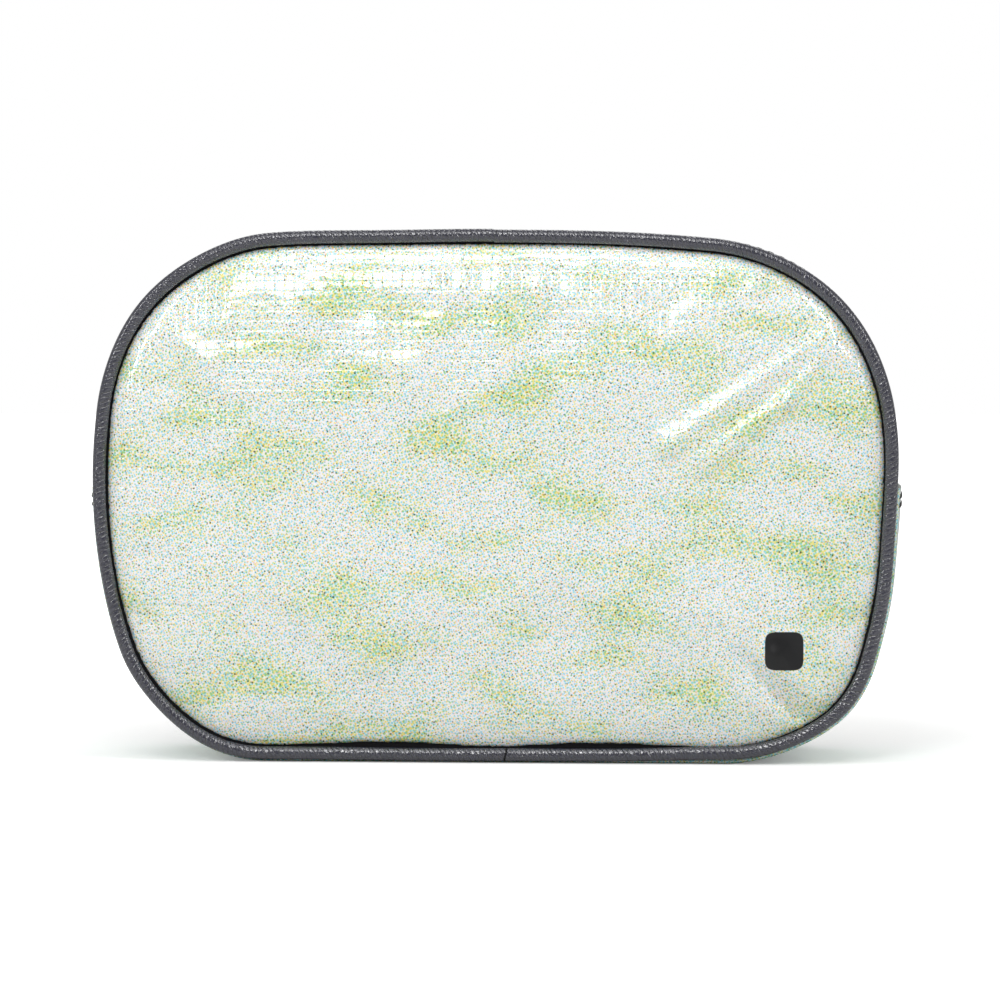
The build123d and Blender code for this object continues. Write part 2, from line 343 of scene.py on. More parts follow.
# =============================================================== material helpers
class Tree:
    """Short names for building a node tree."""

    def __init__(self, tree):
        self.tree = tree

    def add(self, kind, inputs=None, **settings):
        node = self.tree.nodes.new(kind)
        for key, value in settings.items():
            setattr(node, key, value)
        for key, value in (inputs or {}).items():
            self.put(value, node.inputs[key])
        return node

    def put(self, value, socket):
        if isinstance(value, bpy.types.NodeSocket):
            self.tree.links.new(value, socket)
        else:
            socket.default_value = value

    def split(self, vector):
        """X, Y and Z of a vector."""
        return self.add("ShaderNodeSeparateXYZ", {0: vector}).outputs

    def place(self):
        """Object coordinates."""
        return self.add("ShaderNodeTexCoord").outputs["Object"]

    def maths(self, operation, a, b=0.0, c=0.0, clamp=False):
        node = self.add("ShaderNodeMath", {0: a, 1: b, 2: c}, operation=operation, use_clamp=clamp)
        return node.outputs[0]

    def smooth(self, value, low, high, start=0.0, end=1.0):
        inputs = {"Value": value, "From Min": low, "From Max": high, "To Min": start, "To Max": end}
        return self.add("ShaderNodeMapRange", inputs, interpolation_type="SMOOTHSTEP").outputs[0]

    def seen(self):
        """1 for rays from the camera, straight or through something clear."""
        path = self.add("ShaderNodeLightPath").outputs
        return self.maths("MAXIMUM", path["Is Camera Ray"], path["Is Transmission Ray"])


class Nodes(Tree):
    """A material with a Principled shader."""

    def __init__(self, name):
        self.material = bpy.data.materials.new(name)
        self.material.use_nodes = True
        super().__init__(self.material.node_tree)
        self.shader = self.tree.nodes["Principled BSDF"]

    def uv(self, scale=(1, 1, 1), rotation=0.0, offset=(0, 0, 0)):
        source = self.add("ShaderNodeUVMap", uv_map="cloth").outputs[0]
        inputs = {"Vector": source, "Scale": scale, "Rotation": (0, 0, rotation), "Location": offset}
        return self.add("ShaderNodeMapping", inputs).outputs[0]

    def cells(self, width, height=None, turn=0.0, offset=(0, 0, 0)):
        """UV counted in cells of a real width and height."""
        return self.uv((1 / width, 1 / (height or width), 1), turn, offset)

    def noise(self, vector, scale, detail=2.0, roughness=0.5):
        inputs = {"Vector": vector, "Scale": scale, "Detail": detail, "Roughness": roughness}
        return self.add("ShaderNodeTexNoise", inputs).outputs[0]

    def mix(self, factor, a, b, blend="MIX"):
        node = self.add("ShaderNodeMix", data_type="RGBA", blend_type=blend)
        for value, socket in ((factor, node.inputs[0]), (a, node.inputs[6]), (b, node.inputs[7])):
            self.put((*value, 1) if isinstance(value, tuple) and len(value) == 3 else value, socket)
        return node.outputs[2]

    def bump(self, height, strength, distance, normal=None):
        inputs = {"Height": height, "Strength": strength, "Distance": distance}
        if normal is not None:
            inputs["Normal"] = normal
        return self.add("ShaderNodeBump", inputs).outputs[0]

    def finish(self, colour, roughness, normal=None, **sockets):
        """Sets the shader's sockets; a name's underscores stand for spaces."""
        inputs = self.shader.inputs
        self.put((*colour, 1) if isinstance(colour, tuple) else colour, inputs["Base Color"])
        self.put(roughness, inputs["Roughness"])
        if normal is not None:
            self.put(normal, inputs["Normal"])
            self.put(normal, inputs["Coat Normal"])
        for key, value in sockets.items():
            inputs[key.replace("_", " ")].default_value = value
        return self.material


CLOUD_SIZE = (26 * MM, 13 * MM)
SCRIM_PITCH = 2.7 * MM  # of the woven cloth under the vinyl


def ink_dots(n, pitch, size, seed, share=1.0):
    """A mask of scattered round printing dots of a size (in pitches), in a share of the cells."""
    place = n.cells(pitch, pitch, seed, (seed * 3.1, seed * 1.7, 0))
    inputs = {"Vector": place, "Scale": 1.0, "Randomness": 0.8}
    cell = n.add("ShaderNodeTexVoronoi", inputs, voronoi_dimensions="2D")
    chance = n.add("ShaderNodeSeparateColor", {0: cell.outputs["Color"]})
    radius = n.maths("MULTIPLY", size, n.maths("MULTIPLY_ADD", chance.outputs[0], 0.7, 0.65))
    over = n.maths("SUBTRACT", radius, cell.outputs["Distance"])
    mask = n.smooth(over, -0.07, 0.07)
    if share < 1:
        mask = n.maths("MULTIPLY", mask, n.maths("LESS_THAN", chance.outputs[1], share))
    return mask


def printed_vinyl(name, paper, tint, inks, seed=0.0, badge=None):
    """Glossy banner vinyl: soft clouds printed in fine dots, over the grid of its woven scrim."""
    n = Nodes(name)
    cloud_uv = n.cells(*CLOUD_SIZE, 0.0, (seed, seed * 1.7, 0))
    patches = n.smooth(n.noise(cloud_uv, 1.0, 1.2, 0.4), 0.41, 0.76)
    colour = n.mix(patches, paper, tint)
    for ink, pitch, least, swing, share in inks:
        size = n.maths("MULTIPLY_ADD", patches, swing, least)
        dots = ink_dots(n, pitch, size, seed + pitch / MM * 7.3, share)
        colour = n.mix(dots, colour, n.mix(1.0, colour, ink, "MULTIPLY"))
    threads = n.split(n.cells(SCRIM_PITCH / pi))[:2]
    waves = [n.maths("ABSOLUTE", n.maths("SINE", thread)) for thread in threads]
    gaps = [n.smooth(wave, 0.0, 0.45, -1.3, -0.3) for wave in waves]
    grooves = [n.maths("MULTIPLY_ADD", wave, 0.3, gap) for wave, gap in zip(waves, gaps)]
    uneven = n.smooth(n.noise(n.cells(9 * MM, 3 * MM), 1.0, 1.5), 0.25, 0.60, 0.25, 1.0)
    scrim = n.maths("MULTIPLY", uneven, n.maths("MULTIPLY_ADD", grooves[0], 0.7, grooves[1]))
    drape = n.noise(n.cells(26 * MM, 9 * MM), 1.0)
    grain = n.noise(n.cells(0.7 * MM), 1.0)
    bare = 1.0
    if badge:
        mask = badge_mask(n, *badge)
        bare = n.maths("SUBTRACT", 1.0, mask)
        colour = n.mix(mask, colour, (0.006, 0.006, 0.007))
    normal = n.bump(drape, bare, 0.22 * MM)
    normal = n.bump(scrim, bare, 0.048 * MM, normal)
    normal = n.bump(grain, bare, 0.006 * MM, normal)
    roughness = n.smooth(grain, 0.2, 0.8, 0.06, 0.13)
    if badge:
        roughness = n.maths("MULTIPLY_ADD", mask, 0.28, roughness)
    n.put(n.maths("MULTIPLY", bare, 0.8), n.shader.inputs["Coat Weight"])
    return n.finish(colour, roughness, normal, Coat_Roughness=0.03)


def badge_mask(n, x, z, size):
    """A plain rounded square, printed at a place on the front."""
    offsets = [n.maths("SUBTRACT", *ends) for ends in zip(n.split(n.uv()), (x, z))]
    away = [n.maths("ABSOLUTE", offset) for offset in offsets]
    powers = [n.maths("POWER", n.maths("DIVIDE", value, size / 2), 5.0) for value in away]
    return n.smooth(n.maths("ADD", *powers), 0.9, 1.1, 1.0, 0.0)


RIB_PITCH = 1.4 * MM  # of the leathercloth's grain
CORD_JOINT = PERIMETER + 3.7 * MM  # where the ends of the piping meet, near the bottom middle


def leathercloth(name, joint_at):
    """Grey leathercloth: slanting ribs and pebbles of grain, with painted shade that darkens the
    creases between them.
    """
    n = Nodes(name)
    along, around = n.split(n.uv())[:2]
    slanted = n.maths("MULTIPLY_ADD", around, 0.45, along)
    inputs = {0: n.maths("DIVIDE", slanted, 1.5 * MM), 1: n.maths("DIVIDE", around, 2.6 * MM)}
    pebble_at = n.add("ShaderNodeCombineXYZ", inputs).outputs[0]
    inputs = {"Vector": pebble_at, "Scale": 1.0, "Randomness": 0.8}
    edge = n.add("ShaderNodeTexVoronoi", inputs, voronoi_dimensions="2D", feature="DISTANCE_TO_EDGE")
    strayed = n.maths("MULTIPLY_ADD", n.noise(pebble_at, 0.8), 1.6 * MM, slanted)
    waves = n.maths("ABSOLUTE", n.maths("SINE", n.maths("MULTIPLY", strayed, pi / RIB_PITCH)))
    ribs = n.maths("MULTIPLY_ADD", waves, 0.25, n.smooth(waves, 0.0, 0.62))
    pebbles = n.maths("MULTIPLY_ADD", n.smooth(edge.outputs["Distance"], 0.0, 0.30), 0.4, ribs)
    fine = n.noise(n.cells(1 * MM), 2.2, 3.0, 0.6)
    colour = n.mix(fine, (0.015, 0.015, 0.029), (0.028, 0.028, 0.050))
    # painted shade: the colour goes near-black where the grain is low, in the creases between pebbles
    colour = n.mix(n.smooth(pebbles, 0.0, 0.9), (0.008, 0.008, 0.011), colour)
    away = n.maths("ABSOLUTE", n.maths("SUBTRACT", along, joint_at))
    colour = n.mix(n.smooth(away, 0.12 * MM, 0.34 * MM, 1.0, 0.0), colour, (0.008, 0.008, 0.009))
    normal = n.bump(pebbles, 1.0, 0.13 * MM)
    roughness = n.smooth(fine, 0.3, 0.7, 0.34, 0.46)
    return n.finish(colour, roughness, normal, Coat_Weight=1.0, Coat_Roughness=0.08, Coat_IOR=1.8)


def shade_and_joint_black(name, colour):
    """Near-black cloth with a faint nap: painted shade in the gap inside the cord, and the dark joint
    where the cord's ends meet.
    """
    n = Nodes(name)
    nap = n.noise(n.cells(1 * MM), 1.5, 3.0, 0.6)
    tint = n.mix(nap, colour, tuple(c * 2 for c in colour))
    return n.finish(tint, 0.9, n.bump(nap, 0.6, 0.1 * MM), Specular_IOR_Level=0.15)


def woven(name, dark, light, pitch, slant=0.0):
    """Plain or twill cloth with a thread pattern at its true pitch."""
    n = Nodes(name)
    threads = n.split(n.cells(pitch / (2 * pi), turn=radians(slant)))[:2]
    weave = n.maths("MULTIPLY", *[n.maths("SINE", thread) for thread in threads])
    fuzz = n.noise(n.cells(pitch), 0.8, 3.0, 0.6)
    stain = n.noise(n.cells(18 * MM), 1.0, 3.0)
    value = n.maths("MULTIPLY_ADD", weave, 0.3, n.maths("MULTIPLY_ADD", fuzz, 0.6, 0.2), clamp=True)
    colour = n.mix(value, dark, light)
    colour = n.mix(n.smooth(stain, 0.35, 0.7, 0.0, 0.3), colour, dark)
    normal = n.bump(n.maths("MULTIPLY_ADD", fuzz, 0.5, weave), 0.6, pitch * 0.2)
    return n.finish(colour, 0.85, normal, Sheen_Weight=0.15, Specular_IOR_Level=0.3)


def moulded_plastic(name, colour):
    """Black acetal: satin, with faint mould texture."""
    n = Nodes(name)
    mould = n.noise(n.place(), 900.0)
    tint = n.mix(mould, colour, tuple(min(1, c * 1.7) for c in colour))
    return n.finish(tint, n.smooth(mould, 0.3, 0.7, 0.26, 0.40), n.bump(mould, 0.2, 0.04 * MM))


def coated_metal(name):
    """Black electrocoated zinc, rubbed brighter where it rides."""
    n = Nodes(name)
    cast = n.noise(n.place(), 700.0, 3.0, 0.6)
    rubbed = n.smooth(n.noise(n.place(), 160.0, 3.0, 0.65), 0.52, 0.70)
    colour = n.mix(rubbed, (0.030, 0.030, 0.033), (0.11, 0.11, 0.115))
    n.put(n.smooth(rubbed, 0.0, 1.0, 0.55, 0.85), n.shader.inputs["Metallic"])
    return n.finish(colour, n.smooth(cast, 0.3, 0.7, 0.24, 0.42), n.bump(cast, 0.2, 0.05 * MM))


def thread_material(name, colour):
    """Twisted polyester thread."""
    n = Nodes(name)
    ply = n.noise(n.place(), 2600.0, 2.0, 0.6)
    tint = n.mix(ply, colour, tuple(c * 2.2 for c in colour))
    return n.finish(tint, 0.55, n.bump(ply, 0.5, 0.08 * MM), Sheen_Weight=0.1)


CYAN, YELLOW = (0.36, 0.80, 0.95), (1.0, 0.88, 0.28)
KEY, ORANGE = (0.13, 0.14, 0.08), (0.98, 0.62, 0.48)
FRONT_INKS = (
    # ink, pitch of its dots, size on bare paper, growth inside a cloud, share of cells
    (CYAN, 0.81 * MM, 0.28, 0.11, 1.0),
    (YELLOW, 0.78 * MM, 0.25, 0.17, 1.0),
    (ORANGE, 1.18 * MM, 0.16, 0.02, 0.6),
    (KEY, 1.35 * MM, 0.13, 0.03, 0.46),
)
SIDE_INKS = ((CYAN, 0.95 * MM, 0.34, 0.06, 1.0), *FRONT_INKS[1:])
BADGE = (80 * MM, 31.5 * MM, 10.5 * MM)  # x, z and size of the plain black mark
PAPER, GREEN = (0.91, 0.89, 0.92), (0.85, 0.86, 0.74)
FRONT_PRINT = printed_vinyl("front_print", PAPER, GREEN, FRONT_INKS, badge=BADGE)
BACK_PRINT = printed_vinyl("back_print", PAPER, GREEN, FRONT_INKS, seed=3.1)
STRIP_PRINT = printed_vinyl("strip_print", PAPER, (0.85, 0.84, 0.70), FRONT_INKS, seed=5.3)
SEA_PAPER, SEA_GREEN = (0.72, 0.83, 0.80), (0.56, 0.73, 0.66)
GUSSET_PRINT = printed_vinyl("gusset_print", SEA_PAPER, SEA_GREEN, SIDE_INKS, seed=7.7)
PIPING_LEATHER = leathercloth("piping_leather", joint_at=CORD_JOINT)
# near-black: painted shade in the gap between cord and pad, and the cord's dark joint
GAP_SHADE_AND_JOINT_CLOTH = shade_and_joint_black("gap_shade_and_joint_cloth", (0.008, 0.008, 0.009))
LINING_CLOTH = woven("lining_cloth", (0.22, 0.22, 0.23), (0.42, 0.42, 0.43), 0.9 * MM)
TAPE_CLOTH = woven("tape_cloth", (0.010, 0.010, 0.011), (0.045, 0.045, 0.048), 0.7 * MM, slant=45)
TEETH_PLASTIC = moulded_plastic("teeth_plastic", (0.018, 0.018, 0.020))
SLIDER_METAL = coated_metal("slider_metal")
THREAD = thread_material("thread", (0.012, 0.012, 0.013))


# =============================================================== pads
PAD_RINGS = 26
PAD_ROLL = 2.6 * MM  # the skin turns forwards this far close to its seam
PAD_RISE = 10.0 * MM  # beyond that its slope dies away over about this distance
# Soft ridges (+) and creases (-) in the skin: start x, z, end x, z and half-width at each, in mm,
# and steepness.
FRONT_LINES = [
    (94.6, 120, 48.7, 87.5, 1.8, 4.2, 0.36),
    (94.6, 117.5, 80.8, 99.6, 1.6, 2.8, 0.34),
    (80.8, 99.6, 58.9, 83.4, 2.8, 4.2, 0.38),
    (-97, 124, -78, 110, 2.0, 3.4, 0.22),
    (86.5, 9.5, 66, 33, 1.7, 3.4, -1.25),
    (93, 14, 78, 30, 2.0, 3.4, 0.4),
    (-90, 11, -66, 27, 2.4, 5.0, -0.10),
    (66, 142, 73, 131, 1.6, 2.2, 0.22),
]
BACK_LINES = [(-x0, z0, -x1, z1, *rest) for x0, z0, x1, z1, *rest in FRONT_LINES]


def pad_points(count):
    """The grid laid inside the panel's edge: x, z of each grid corner and how near the rim it is."""
    steps = np.linspace(-1, 1, 2 * count + 1)
    u, v = np.meshgrid(steps, steps)
    near = np.maximum(np.abs(u), np.abs(v))
    eased = 1 - (1 - near) ** 1.35
    safe = np.where(near == 0, 1, near)
    a, b = u / safe, v / safe
    side = np.where(
        b <= -1 + 1e-9, a, np.where(a >= 1 - 1e-9, 2 + b, np.where(b >= 1 - 1e-9, 4 - a, 6 - b))
    )
    point, normal = rim(corner_share(side.ravel()))
    edge = point - normal * (PANEL_INSET + 0.25 * MM)
    middle = np.array([0, WIDEST_HEIGHT])
    xz = middle + (edge - middle) * eased.ravel()[:, None]
    return xz, near.ravel()


def corner_share(side):
    """Running length for a place on the square: its corners fall on the outline's rounded corners."""
    low = length_at_height(13 * MM, 1)
    high = length_at_height(130 * MM, 1)
    stops = [-1, 1, 3, 5, 7]
    lengths = [-low, low, high, PERIMETER - high, PERIMETER - low]
    return np.interp(side, stops, lengths)


def crown(x, z):
    """Depth of the skin in front of the seam."""
    inset = np.maximum(inset_of(x, z) - PANEL_INSET, 0)
    swell = FACE_Y - BAND_HALF - PAD_ROLL
    roll = PAD_ROLL * (1 - np.exp(-(inset + 0.7 * MM) / (0.8 * MM)))
    return roll + swell * (1 - np.exp(-inset / PAD_RISE))


def creases(x, z, lines):
    """Height of the soft folds: each runs from start to end, widening, with one slope throughout."""
    total = np.zeros_like(x)
    for *lengths, slope in lines:
        x0, z0, x1, z1, narrow, wide = np.array(lengths) * MM
        run = np.array([x1 - x0, z1 - z0])
        share = ((x - x0) * run[0] + (z - z0) * run[1]) / run.dot(run)
        held = np.clip(share, 0, 1)
        spread = narrow + (wide - narrow) * held
        away = np.hypot(x - x0 - held * run[0], z - z0 - held * run[1])
        fade = 1 - held**2 if slope < 0 else 1
        total += slope * spread * fade * np.exp(-((away / spread) ** 2))
    return total


def make_pad(name, facing, lines, seed):
    """A closed crowned pad: cloth blown against its stitched edge, then creased. Facing -1 front."""
    xz, near = pad_points(PAD_RINGS)
    size = 2 * PAD_RINGS + 1
    depth = crown(xz[:, 0], xz[:, 1])
    front = np.stack([xz[:, 0], BAND_HALF + depth, xz[:, 1]], 1)
    back = np.stack([xz[:, 0], np.full(len(xz), BAND_HALF + 0.6 * MM), xz[:, 1]], 1)
    index, quads = grid_quads(size)
    border = np.concatenate([index[0, :-1], index[:-1, -1], index[-1, :0:-1], index[:0:-1, 0]])
    faces = [tuple(q) for q in quads] + [tuple(q + size * size) for q in quads[:, ::-1]]
    walls = zip(border, np.roll(border, -1))
    faces += [(b, a, a + size * size, b + size * size) for a, b in walls]
    co = np.concatenate([front, back])
    co[:, 1] *= facing
    pad = mesh_object(name, co, faces, smooth_angle=70, warp=False)
    free = np.concatenate([near < 1 - 1.5 / PAD_RINGS, np.zeros(len(xz), bool)])
    settle_cloth(pad, ~free, facing, seed)
    subdivide = pad.modifiers.new("smooth", "SUBSURF")
    subdivide.levels = subdivide.render_levels = 2
    apply_modifiers(pad)
    crease_pad(pad, facing, lines)
    pad_uv(pad)
    tidy_mesh(pad, 60)
    return pad


SIM_FRAMES = 22
SIM_CAP = 1.1 * MM  # how far the simulation may move a point


def settle_cloth(pad, pinned, facing, seed):
    """Lets slightly oversize cloth settle over its filling, then keeps it within a cap."""
    rest = points_of(pad)
    group = pad.vertex_groups.new(name="pinned")
    group.add([int(i) for i in np.flatnonzero(pinned)], 1.0, "REPLACE")
    for vertex in pad.data.vertices:
        if not pinned[vertex.index]:
            place = Vector((vertex.co.x * 45, seed, vertex.co.z * 60))
            vertex.co.y += facing * 0.5 * MM * noise.noise(place)
    cloth = pad.modifiers.new("cloth", "CLOTH")
    settings = cloth.settings
    settings.quality = 6
    settings.mass = 0.25
    settings.tension_stiffness = 18
    settings.compression_stiffness = 18
    settings.shear_stiffness = 8
    settings.bending_stiffness = 1.2
    settings.vertex_group_mass = "pinned"
    settings.shrink_min = -0.012
    settings.use_pressure = True
    settings.uniform_pressure_force = 1.6
    settings.effector_weights.gravity = 0
    cloth.point_cache.frame_start = 1
    cloth.point_cache.frame_end = SIM_FRAMES
    for step in range(1, SIM_FRAMES + 1):
        bpy.context.scene.frame_set(step)
    apply_modifiers(pad)
    bpy.context.scene.frame_set(1)
    move = points_of(pad) - rest
    move[:, 1] -= np.mean(move[~pinned][:, 1])
    move = np.clip(0.6 * move, -SIM_CAP, SIM_CAP)
    move_points(pad, rest + move)
    pad.vertex_groups.clear()


def length_near(co):
    """Running length of the outline nearest to each point, by its bearing from the middle."""
    bearing = np.arctan2(co[:, 2] - WIDEST_HEIGHT, co[:, 0])
    return np.interp(bearing, RIM_ANGLE, RIM_ANGLE_LENGTH)


def puckers(along, inset, seed):
    """Small gathers that run inwards from the seam."""
    wave = wander((s / (8 * MM), seed, 0) for s in along)
    return 0.30 * MM * wave * np.exp(-(((inset - 5 * MM) / (9 * MM)) ** 2))


def spread_rim(along, inset, seed):
    """The skin's edge pushes out to the piping, unevenly, as it was trimmed and sewn by hand."""
    ragged = wander((s / (1.7 * MM), seed, 5) for s in along)
    slow = wander((s / (34 * MM), seed, 9) for s in along)
    reach = (0.52 + 0.26 * ragged + 0.20 * slow) * MM * np.exp(-((inset / (1.3 * MM)) ** 2))
    outward = rim(along)[1]
    return np.stack([outward[:, 0] * reach, np.zeros(len(along)), outward[:, 1] * reach], 1)


def crease_pad(pad, facing, lines):
    """Folds, ripples and gathers in the skin of a pad, and its uneven rim."""
    co = points_of(pad)
    outer = np.abs(co[:, 1]) > BAND_HALF + 0.9 * MM
    inset = np.maximum(inset_of(co[:, 0], co[:, 2]) - PANEL_INSET, 0)
    hold = 1 - np.exp(-((inset / (3 * MM)) ** 2))
    push = creases(co[:, 0], co[:, 2], lines)
    push += 0.16 * MM * wander((x * 70, facing * 3.0, z * 150) for x, y, z in co)
    co += spread_rim(length_near(co), inset, facing)
    push += puckers(length_near(co), inset, facing * 4.0)
    co[:, 1] += facing * np.where(outer, push * hold, 0)
    move_points(pad, soften(co))


def pad_uv(pad):
    """The print lies on the cloth as seen from the front."""
    layer = pad.data.uv_layers.new(name="cloth")
    corners = [corner.vertex_index for corner in pad.data.loops]
    layer.data.foreach_set("uv", points_of(pad)[corners][:, [0, 2]].astype(np.float32).ravel())


def make_lining(name, facing):
    """The flat cloth behind a pad, seen when the pouch is open, a little slack between its seams."""
    xz, near = pad_points(PAD_RINGS)
    slack = wander((x * 38, facing * 2.0, z * 38) for x, z in xz)
    inner = BAND_HALF - (0.35 + 0.35 * slack) * MM * (near < 1 - 2 / PAD_RINGS)
    quads = grid_quads(2 * PAD_RINGS + 1)[1]
    co = np.stack([xz[:, 0], inner * facing, xz[:, 1]], 1)
    lining = mesh_object(name, co, [tuple(q) for q in quads], xz[quads.ravel()], 60)
    solid = lining.modifiers.new("thickness", "SOLIDIFY")
    solid.thickness = 0.5 * MM
    solid.offset = -1 if facing > 0 else 1
    smooth = lining.modifiers.new("smooth", "SUBSURF")
    smooth.levels = smooth.render_levels = 1
    apply_modifiers(lining)
    tidy_mesh(lining, 60)
    return lining


# =============================================================== band, piping, zip
def flip(profile, facing):
    """A profile of the back half, or mirrored to the front (-1)."""
    return [(inset, y * facing) for inset, y in profile]


def band_bulge(lengths, heights, depth):
    """The band swells a little between its seams, except where it stands."""
    share = np.clip(heights / (30 * MM), 0, 1)
    across = np.cos(np.clip(depth / BAND_HALF, -1, 1) * pi / 2)
    return 1.3 * MM * ease(share) * across


def strip_bulge(lengths, heights, depth):
    """As the band's, but the zip itself stays on its track."""
    wide = band_bulge(lengths, heights, depth)
    slot = band_bulge(lengths, heights, np.full_like(depth, SLOT_HALF))
    return wide - slot * (1 - np.clip((np.abs(depth) - SLOT_HALF) / (BAND_HALF - SLOT_HALF), 0, 1))


def lining_slack(lengths, heights, depth):
    """The bottom's lining lies a little loose."""
    return 0.25 * MM * np.sin(lengths * 170.0) * np.cos(depth * 90.0 + 0.4) - 0.2 * MM


def piping_waver(lengths, heights, depth):
    """The piping strays a little from its seam, and is drawn in along the right of the bottom."""
    slow = 0.16 * MM * np.sin(lengths * 61.0) * np.sin(lengths * 23.0 + 1.0)
    along_bottom = np.exp(-(((lengths - PERIMETER - 62 * MM) / (22 * MM)) ** 2))
    return slow - 0.9 * MM * along_bottom


def make_bottom_gusset():
    """The printed band under the pouch with softly turned edges, and its flanges in the seams."""
    soft = 0.5 * MM
    across = np.linspace(-(BAND_HALF - soft), BAND_HALF - soft, 19)
    turned = [(soft * 0.8, BAND_HALF), (VINYL + soft * 0.3, BAND_HALF)]
    outer, inner = [(0.0, y) for y in across], [(VINYL, y) for y in across[::-1]]
    profile = outer + turned + inner + flip(turned[::-1], -1)
    pieces = [sweep("band", profile, *run_under(LAP_TOP), bulge=band_bulge)]
    for near in (-BAND_HALF, BAND_HALF - VINYL):
        far = near + VINYL
        profile = [(VINYL, near), (FLANGE_EDGE, near), (FLANGE_EDGE, far), (VINYL, far)]
        pieces.append(sweep("flange", profile, *run_under(LAP_BOTTOM)))
    return joined("gusset_cover", pieces)


def make_bottom_lining():
    """Cloth over the padding, inside the bottom gusset."""
    edge = BAND_HALF - VINYL - 0.1 * MM
    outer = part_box("bottom_liner")[0].z
    profile = slab(outer, outer + 0.6 * MM, np.linspace(-edge, edge, 13))
    return sweep("bottom_lining", profile, *run_under(LAP_BOTTOM), bulge=lining_slack)


def make_strip(name, facing):
    """A zip strip: outer cloth, soft fold at the zip, hem, and the part turned in at the seam."""
    fold_radius = 0.5 * MM
    fold_end = SLOT_HALF + 0.9 * MM
    hem_edge = SLOT_HALF + HEM
    seam_in = BAND_HALF - VINYL
    fold = [
        (VINYL + VINYL * (1 - cos(angle)), SLOT_HALF + fold_radius * (1 - sin(angle)))
        for angle in np.linspace(0.15, pi - 0.15, 7)
    ]
    outer = [(VINYL, y) for y in np.linspace(BAND_HALF - 0.6 * MM, fold_end, 9)]
    hem = [(3 * VINYL, y) for y in np.linspace(fold_end, hem_edge, 4)]
    under = [(2 * VINYL, y) for y in np.linspace(hem_edge, seam_in, 4)]
    turned = [(FLANGE_EDGE, seam_in), (FLANGE_EDGE, BAND_HALF), (VINYL + 0.5 * MM, BAND_HALF)]
    profile = flip(outer + fold + hem + under + turned, facing)
    return sweep(name, profile, *run_over_top(LAP_BOTTOM), bulge=strip_bulge)


def make_strip_lining(name, facing):
    """Cloth backing a zip strip from its hem to its seam."""
    outer, inner = 2 * VINYL + 0.05 * MM, 2 * VINYL + 0.45 * MM
    across = np.linspace(SLOT_HALF + HEM + 0.2 * MM, BAND_HALF - VINYL - 0.05 * MM, 6)
    profile = slab(outer, inner, across, facing)
    return sweep(name, profile, *run_over_top(LAP_BOTTOM), bulge=strip_bulge)


def make_binding(name, facing):
    """Black tape sewn over the raw edges of a seam inside the pouch."""
    near, far = BAND_HALF - VINYL - 0.05 * MM, BAND_HALF - VINYL - 0.55 * MM
    low, high, bend = FLANGE_EDGE - 7 * MM, FLANGE_EDGE + 0.4 * MM, 0.15 * MM
    middle = (near + far) / 2
    over = [(low, near), (high, near), (high + bend, middle)]
    return loop(name, flip(over + [(high, far), (low, far), (low - bend, middle)], facing))


def make_tape(name, facing):
    """One half of the zip's woven tape."""
    across = np.linspace(TAPE_EDGE, tape_high.y, 8)
    profile = slab(TAPE_INSET, TAPE_INSET + TAPE_THICKNESS, across, facing)
    return sweep(name, profile, *run_over_top(LAP_BOTTOM), step=2.2 * MM)


def cord_profile(radius, facing):
    """The round section of a piping."""
    angles = [2 * pi * k / 20 + 1.25 * pi for k in range(20)]
    return flip([(PIPING_INSET - radius * cos(a), PIPING_Y + radius * sin(a)) for a in angles], facing)


def make_piping(name, facing):
    """A leathercloth tube that wavers slightly, its ends butted at the bottom."""
    return loop(name, cord_profile(PIPING_DIAMETER / 2, facing), 1.1 * MM, piping_waver, 180)


def make_piping_joint(name, facing):
    """The dark slanting slit where the ends of the piping meet, a little right of the middle."""
    half, slant = 0.22 * MM, 0.22
    profile = cord_profile(PIPING_DIAMETER / 2 + 0.04 * MM, facing)
    ring = sweep(name, profile, CORD_JOINT - half, CORD_JOINT + half, 2 * half, bulge=piping_waver)
    for vertex in ring.data.vertices:
        vertex.co.x += slant * (vertex.co.z - PIPING_INSET)
    return ring


def make_gap_shade(name, facing):
    """A near-black ring behind the cord and under the pad's edge: painted shade, seen as the dark gap
    inside the cord.
    """
    near, far = BAND_HALF + 0.05 * MM, BAND_HALF + 0.5 * MM
    low, high = 1.6 * MM, 8.0 * MM
    return loop(name, flip([(low, near), (high, near), (high, far), (low, far)], facing))


def track_places(pitch, start_length, end_length):
    """Points, normals and directions along the zip's track, evenly spaced at the tape's middle."""
    lengths = np.linspace(start_length, end_length, 4000)
    point, normal = rim(lengths)
    line = point - normal * TAPE_MIDDLE
    run = np.concatenate([[0], np.cumsum(np.linalg.norm(np.diff(line, axis=0), axis=1))])
    places = np.interp(np.arange(pitch / 2, run[-1], pitch), run, lengths)
    point, normal = rim(places)
    return point - normal * TAPE_MIDDLE, normal


TOOTH_PITCH = 3.9 * MM
TOOTH_OUTLINE = [(-0.9, 3.5), (-0.62, 0.35), (-1.05, -0.15), (-0.95, -0.95), (-0.55, -1.15)]


